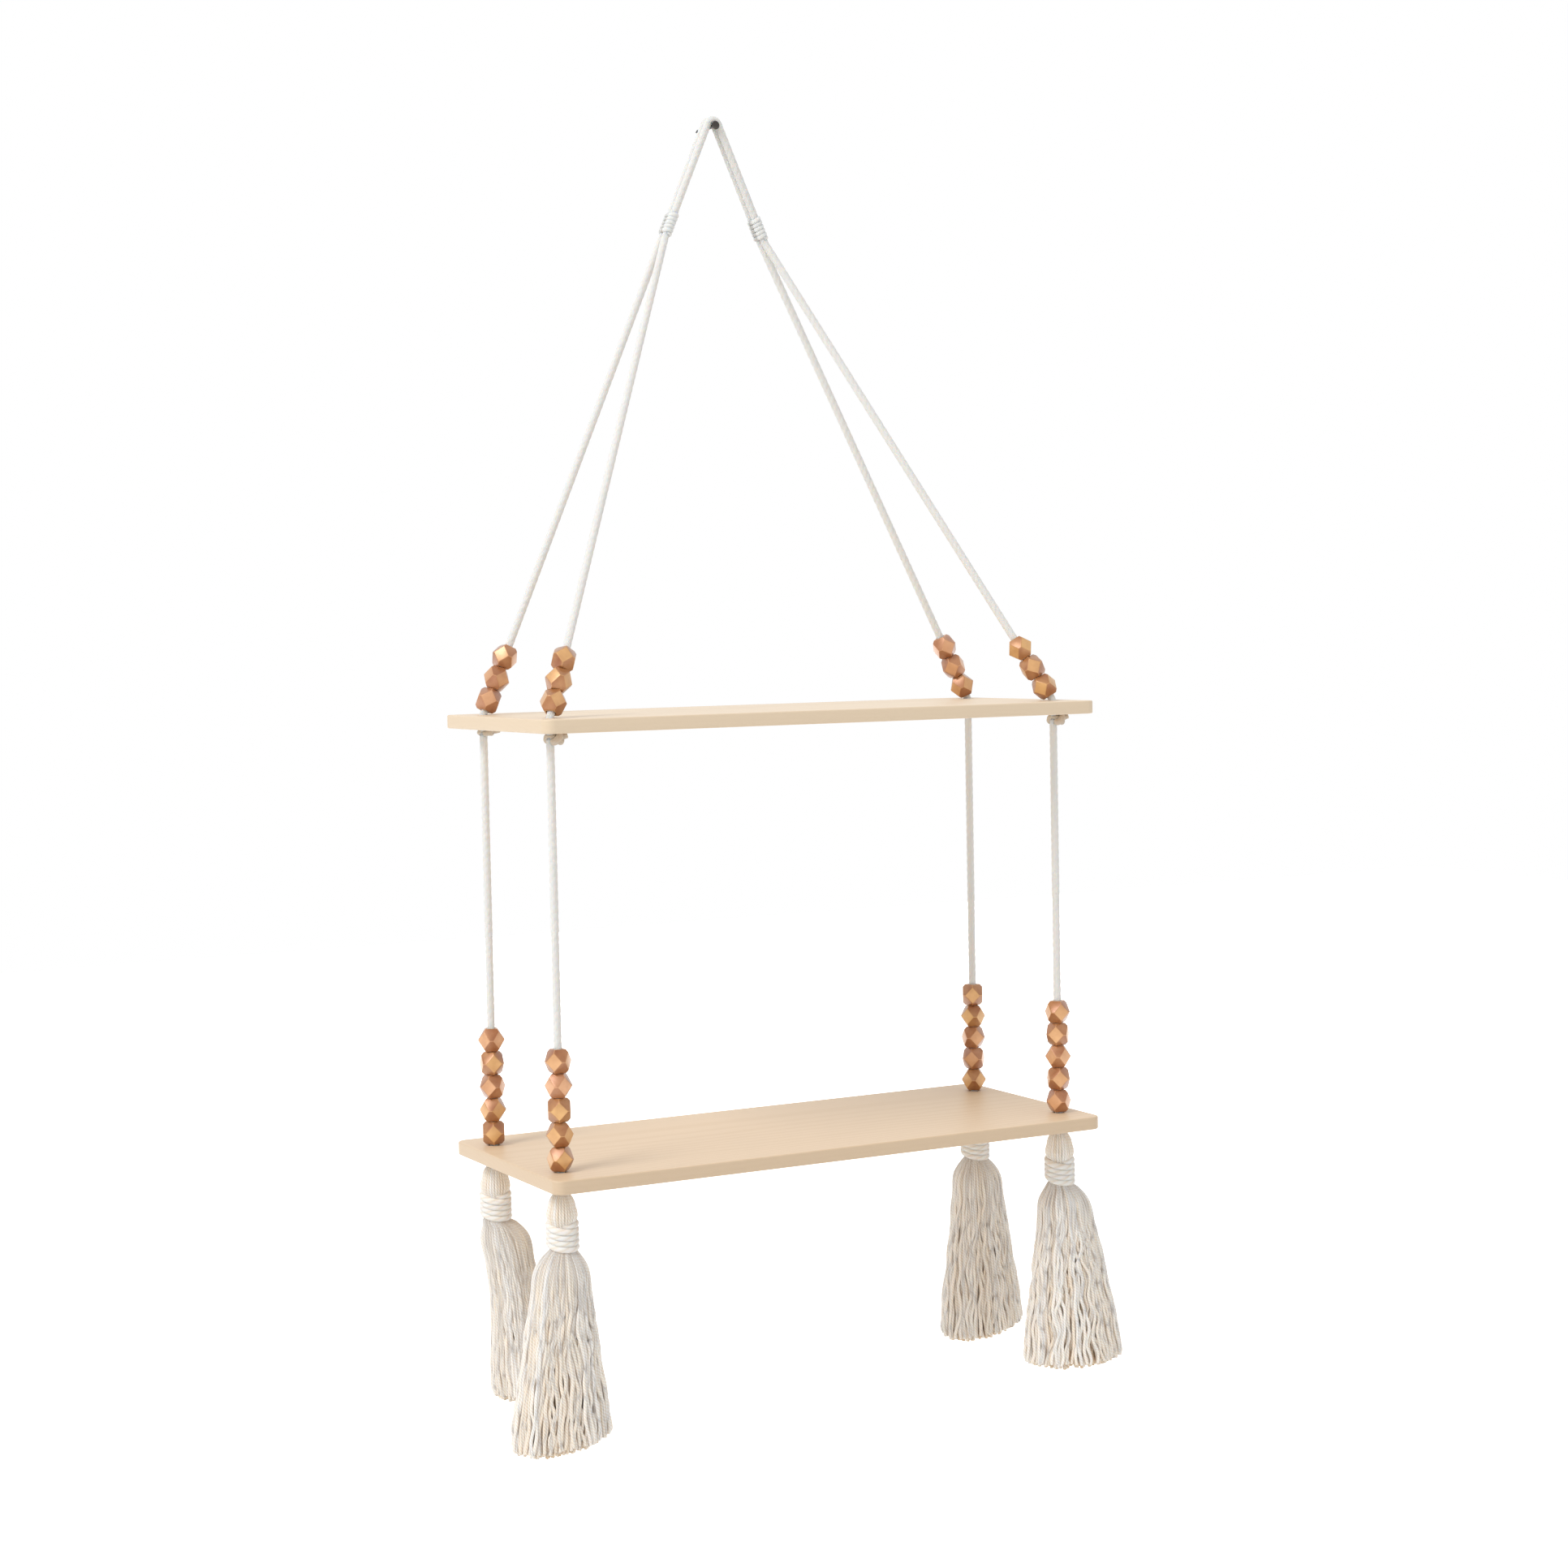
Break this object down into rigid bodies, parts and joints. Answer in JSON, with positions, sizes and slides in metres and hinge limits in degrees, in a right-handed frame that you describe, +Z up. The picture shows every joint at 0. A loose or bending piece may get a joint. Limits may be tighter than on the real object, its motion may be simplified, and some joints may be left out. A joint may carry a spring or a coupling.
{
  "type": "hanging rope shelf",
  "caption": "Two-tier hanging shelf of pale wooden boards on cotton ropes over one nail, with faceted beads on the ropes and yarn tassels below.",
  "frame": {"origin": "on the axis of the wall nail, where it enters the wall", "axes": "+X along the boards to the right seen from the front, +Y back into the wall, +Z up"},
  "size_m": [0.5, 0.208, 0.9844],
  "materials": {
    "board": "pale whitewashed softwood under a satin clear coat",
    "bead": "turned wooden bead with a metallic copper-gold paint",
    "rope": "off-white twisted cotton rope",
    "yarn": "off-white loose cotton yarn",
    "nail": "dark blued steel"
  },
  "bodies": {
    "nail": {"wall_nail": "nail"},
    "hanger": {"front_upper_rope": "rope", "rear_upper_rope": "rope", "left_rope_whipping": "rope", "right_rope_whipping": "rope", "upper_board": "board", "front_left_stop_knot": "rope", "front_right_stop_knot": "rope", "rear_left_stop_knot": "rope", "rear_right_stop_knot": "rope"},
    "front_left_rope": {"front_left_lower_rope": "rope"},
    "front_right_rope": {"front_right_lower_rope": "rope"},
    "rear_left_rope": {"rear_left_lower_rope": "rope"},
    "rear_right_rope": {"rear_right_lower_rope": "rope"},
    "lower_tier": {"lower_board": "board", "front_left_end_knot": "rope", "front_right_end_knot": "rope", "rear_left_end_knot": "rope", "rear_right_end_knot": "rope"},
    "front_left_tassel": {"front_left_tassel": "yarn", "front_left_tassel_binding": "yarn"},
    "front_right_tassel": {"front_right_tassel": "yarn", "front_right_tassel_binding": "yarn"},
    "rear_left_tassel": {"rear_left_tassel": "yarn", "rear_left_tassel_binding": "yarn"},
    "rear_right_tassel": {"rear_right_tassel": "yarn", "rear_right_tassel_binding": "yarn"},
    "front_left_upper_bead_1": {"front_left_upper_bead_1": "bead"},
    "front_left_upper_bead_2": {"front_left_upper_bead_2": "bead"},
    "front_left_upper_bead_3": {"front_left_upper_bead_3": "bead"},
    "front_right_upper_bead_1": {"front_right_upper_bead_1": "bead"},
    "front_right_upper_bead_2": {"front_right_upper_bead_2": "bead"},
    "front_right_upper_bead_3": {"front_right_upper_bead_3": "bead"},
    "rear_left_upper_bead_1": {"rear_left_upper_bead_1": "bead"},
    "rear_left_upper_bead_2": {"rear_left_upper_bead_2": "bead"},
    "rear_left_upper_bead_3": {"rear_left_upper_bead_3": "bead"},
    "rear_right_upper_bead_1": {"rear_right_upper_bead_1": "bead"},
    "rear_right_upper_bead_2": {"rear_right_upper_bead_2": "bead"},
    "rear_right_upper_bead_3": {"rear_right_upper_bead_3": "bead"},
    "front_left_lower_bead_1": {"front_left_lower_bead_1": "bead"},
    "front_left_lower_bead_2": {"front_left_lower_bead_2": "bead"},
    "front_left_lower_bead_3": {"front_left_lower_bead_3": "bead"},
    "front_left_lower_bead_4": {"front_left_lower_bead_4": "bead"},
    "front_left_lower_bead_5": {"front_left_lower_bead_5": "bead"},
    "front_right_lower_bead_1": {"front_right_lower_bead_1": "bead"},
    "front_right_lower_bead_2": {"front_right_lower_bead_2": "bead"},
    "front_right_lower_bead_3": {"front_right_lower_bead_3": "bead"},
    "front_right_lower_bead_4": {"front_right_lower_bead_4": "bead"},
    "front_right_lower_bead_5": {"front_right_lower_bead_5": "bead"},
    "rear_left_lower_bead_1": {"rear_left_lower_bead_1": "bead"},
    "rear_left_lower_bead_2": {"rear_left_lower_bead_2": "bead"},
    "rear_left_lower_bead_3": {"rear_left_lower_bead_3": "bead"},
    "rear_left_lower_bead_4": {"rear_left_lower_bead_4": "bead"},
    "rear_left_lower_bead_5": {"rear_left_lower_bead_5": "bead"},
    "rear_right_lower_bead_1": {"rear_right_lower_bead_1": "bead"},
    "rear_right_lower_bead_2": {"rear_right_lower_bead_2": "bead"},
    "rear_right_lower_bead_3": {"rear_right_lower_bead_3": "bead"},
    "rear_right_lower_bead_4": {"rear_right_lower_bead_4": "bead"},
    "rear_right_lower_bead_5": {"rear_right_lower_bead_5": "bead"}
  },
  "joints": [
    {"name": "shelf_swing", "type": "hinge", "parent": "nail", "child": "hanger", "pos_m": [0, 0, 0], "axis": [0, 1, 0], "range_deg": [-10, 10]},
    {"name": "lower_board_sway", "type": "hinge", "parent": "hanger", "child": "front_left_rope", "pos_m": [-0.212, -0.157, -0.4697], "axis": [0, 1, 0], "range_deg": [-5, 5]},
    {"name": "lower_board_level", "type": "hinge", "parent": "front_left_rope", "child": "lower_tier", "pos_m": [-0.212, -0.157, -0.782], "axis": [0, 1, 0], "range_deg": [-5, 5]},
    {"name": "front_right_rope_sway", "type": "hinge", "parent": "hanger", "child": "front_right_rope", "pos_m": [0.212, -0.157, -0.4697], "axis": [0, 1, 0], "range_deg": [-5, 5]},
    {"name": "rear_left_rope_sway", "type": "hinge", "parent": "hanger", "child": "rear_left_rope", "pos_m": [-0.212, -0.033, -0.4697], "axis": [0, 1, 0], "range_deg": [-5, 5]},
    {"name": "rear_right_rope_sway", "type": "hinge", "parent": "hanger", "child": "rear_right_rope", "pos_m": [0.212, -0.033, -0.4697], "axis": [0, 1, 0], "range_deg": [-5, 5]},
    {"name": "front_left_tassel_swing", "type": "hinge", "parent": "lower_tier", "child": "front_left_tassel", "pos_m": [-0.212, -0.157, -0.7859], "axis": [0, 1, 0], "range_deg": [-15, 15]},
    {"name": "front_right_tassel_swing", "type": "hinge", "parent": "lower_tier", "child": "front_right_tassel", "pos_m": [0.212, -0.157, -0.7859], "axis": [0, 1, 0], "range_deg": [-15, 15]},
    {"name": "rear_left_tassel_swing", "type": "hinge", "parent": "lower_tier", "child": "rear_left_tassel", "pos_m": [-0.212, -0.033, -0.7859], "axis": [0, 1, 0], "range_deg": [-15, 15]},
    {"name": "rear_right_tassel_swing", "type": "hinge", "parent": "lower_tier", "child": "rear_right_tassel", "pos_m": [0.212, -0.033, -0.7859], "axis": [0, 1, 0], "range_deg": [-15, 15]},
    {"name": "front_left_upper_beads_slide", "type": "slide", "parent": "hanger", "child": "front_left_upper_bead_1", "axis": [0.3969, 0.3397, 0.8527], "range_m": [0, 0.3]},
    {"name": "front_right_upper_beads_slide", "type": "slide", "parent": "hanger", "child": "front_right_upper_bead_1", "axis": [-0.3969, 0.3397, 0.8527], "range_m": [0, 0.3]},
    {"name": "rear_left_upper_beads_slide", "type": "slide", "parent": "hanger", "child": "rear_left_upper_bead_1", "axis": [0.4211, 0.0662, 0.9046], "range_m": [0, 0.3]},
    {"name": "rear_right_upper_beads_slide", "type": "slide", "parent": "hanger", "child": "rear_right_upper_bead_1", "axis": [-0.4211, 0.0662, 0.9046], "range_m": [0, 0.3]},
    {"name": "front_left_lower_beads_slide", "type": "slide", "parent": "front_left_rope", "child": "front_left_lower_bead_1", "axis": [0, 0, 1], "range_m": [0, 0.213]},
    {"name": "front_right_lower_beads_slide", "type": "slide", "parent": "front_right_rope", "child": "front_right_lower_bead_1", "axis": [0, 0, 1], "range_m": [0, 0.213]},
    {"name": "rear_left_lower_beads_slide", "type": "slide", "parent": "rear_left_rope", "child": "rear_left_lower_bead_1", "axis": [0, 0, 1], "range_m": [0, 0.213]},
    {"name": "rear_right_lower_beads_slide", "type": "slide", "parent": "rear_right_rope", "child": "rear_right_lower_bead_1", "axis": [0, 0, 1], "range_m": [0, 0.213]},
    {"name": "front_left_upper_bead_2_spin", "type": "hinge", "parent": "front_left_upper_bead_1", "child": "front_left_upper_bead_2", "pos_m": [-0.20001, -0.14674, -0.42424], "axis": [0.3969, 0.3397, 0.8527], "continuous": true},
    {"name": "front_left_upper_bead_3_spin", "type": "hinge", "parent": "front_left_upper_bead_1", "child": "front_left_upper_bead_3", "pos_m": [-0.19306, -0.14079, -0.40931], "axis": [0.3969, 0.3397, 0.8527], "continuous": true},
    {"name": "front_right_upper_bead_2_spin", "type": "hinge", "parent": "front_right_upper_bead_1", "child": "front_right_upper_bead_2", "pos_m": [0.20001, -0.14674, -0.42424], "axis": [-0.3969, 0.3397, 0.8527], "continuous": true},
    {"name": "front_right_upper_bead_3_spin", "type": "hinge", "parent": "front_right_upper_bead_1", "child": "front_right_upper_bead_3", "pos_m": [0.19306, -0.14079, -0.40931], "axis": [-0.3969, 0.3397, 0.8527], "continuous": true},
    {"name": "rear_left_upper_bead_2_spin", "type": "hinge", "parent": "rear_left_upper_bead_1", "child": "rear_left_upper_bead_2", "pos_m": [-0.19965, -0.03106, -0.42347], "axis": [0.4211, 0.0662, 0.9046], "continuous": true},
    {"name": "rear_left_upper_bead_3_spin", "type": "hinge", "parent": "rear_left_upper_bead_1", "child": "rear_left_upper_bead_3", "pos_m": [-0.19228, -0.0299, -0.40764], "axis": [0.4211, 0.0662, 0.9046], "continuous": true},
    {"name": "rear_right_upper_bead_2_spin", "type": "hinge", "parent": "rear_right_upper_bead_1", "child": "rear_right_upper_bead_2", "pos_m": [0.19965, -0.03106, -0.42347], "axis": [-0.4211, 0.0662, 0.9046], "continuous": true},
    {"name": "rear_right_upper_bead_3_spin", "type": "hinge", "parent": "rear_right_upper_bead_1", "child": "rear_right_upper_bead_3", "pos_m": [0.19228, -0.0299, -0.40764], "axis": [-0.4211, 0.0662, 0.9046], "continuous": true},
    {"name": "front_left_lower_bead_2_spin", "type": "hinge", "parent": "front_left_lower_bead_1", "child": "front_left_lower_bead_2", "pos_m": [-0.212, -0.157, -0.7452], "axis": [0, 0, 1], "continuous": true},
    {"name": "front_left_lower_bead_3_spin", "type": "hinge", "parent": "front_left_lower_bead_1", "child": "front_left_lower_bead_3", "pos_m": [-0.212, -0.157, -0.7277], "axis": [0, 0, 1], "continuous": true},
    {"name": "front_left_lower_bead_4_spin", "type": "hinge", "parent": "front_left_lower_bead_1", "child": "front_left_lower_bead_4", "pos_m": [-0.212, -0.157, -0.7102], "axis": [0, 0, 1], "continuous": true},
    {"name": "front_left_lower_bead_5_spin", "type": "hinge", "parent": "front_left_lower_bead_1", "child": "front_left_lower_bead_5", "pos_m": [-0.212, -0.157, -0.6927], "axis": [0, 0, 1], "continuous": true},
    {"name": "front_right_lower_bead_2_spin", "type": "hinge", "parent": "front_right_lower_bead_1", "child": "front_right_lower_bead_2", "pos_m": [0.212, -0.157, -0.7452], "axis": [0, 0, 1], "continuous": true},
    {"name": "front_right_lower_bead_3_spin", "type": "hinge", "parent": "front_right_lower_bead_1", "child": "front_right_lower_bead_3", "pos_m": [0.212, -0.157, -0.7277], "axis": [0, 0, 1], "continuous": true},
    {"name": "front_right_lower_bead_4_spin", "type": "hinge", "parent": "front_right_lower_bead_1", "child": "front_right_lower_bead_4", "pos_m": [0.212, -0.157, -0.7102], "axis": [0, 0, 1], "continuous": true},
    {"name": "front_right_lower_bead_5_spin", "type": "hinge", "parent": "front_right_lower_bead_1", "child": "front_right_lower_bead_5", "pos_m": [0.212, -0.157, -0.6927], "axis": [0, 0, 1], "continuous": true},
    {"name": "rear_left_lower_bead_2_spin", "type": "hinge", "parent": "rear_left_lower_bead_1", "child": "rear_left_lower_bead_2", "pos_m": [-0.212, -0.033, -0.7452], "axis": [0, 0, 1], "continuous": true},
    {"name": "rear_left_lower_bead_3_spin", "type": "hinge", "parent": "rear_left_lower_bead_1", "child": "rear_left_lower_bead_3", "pos_m": [-0.212, -0.033, -0.7277], "axis": [0, 0, 1], "continuous": true},
    {"name": "rear_left_lower_bead_4_spin", "type": "hinge", "parent": "rear_left_lower_bead_1", "child": "rear_left_lower_bead_4", "pos_m": [-0.212, -0.033, -0.7102], "axis": [0, 0, 1], "continuous": true},
    {"name": "rear_left_lower_bead_5_spin", "type": "hinge", "parent": "rear_left_lower_bead_1", "child": "rear_left_lower_bead_5", "pos_m": [-0.212, -0.033, -0.6927], "axis": [0, 0, 1], "continuous": true},
    {"name": "rear_right_lower_bead_2_spin", "type": "hinge", "parent": "rear_right_lower_bead_1", "child": "rear_right_lower_bead_2", "pos_m": [0.212, -0.033, -0.7452], "axis": [0, 0, 1], "continuous": true},
    {"name": "rear_right_lower_bead_3_spin", "type": "hinge", "parent": "rear_right_lower_bead_1", "child": "rear_right_lower_bead_3", "pos_m": [0.212, -0.033, -0.7277], "axis": [0, 0, 1], "continuous": true},
    {"name": "rear_right_lower_bead_4_spin", "type": "hinge", "parent": "rear_right_lower_bead_1", "child": "rear_right_lower_bead_4", "pos_m": [0.212, -0.033, -0.7102], "axis": [0, 0, 1], "continuous": true},
    {"name": "rear_right_lower_bead_5_spin", "type": "hinge", "parent": "rear_right_lower_bead_1", "child": "rear_right_lower_bead_5", "pos_m": [0.212, -0.033, -0.6927], "axis": [0, 0, 1], "continuous": true}
  ],
  "couplings": [
    {"joint": "lower_board_level", "follows": "lower_board_sway", "ratio": -1},
    {"joint": "front_right_rope_sway", "follows": "lower_board_sway", "ratio": 1},
    {"joint": "rear_left_rope_sway", "follows": "lower_board_sway", "ratio": 1},
    {"joint": "rear_right_rope_sway", "follows": "lower_board_sway", "ratio": 1}
  ]
}
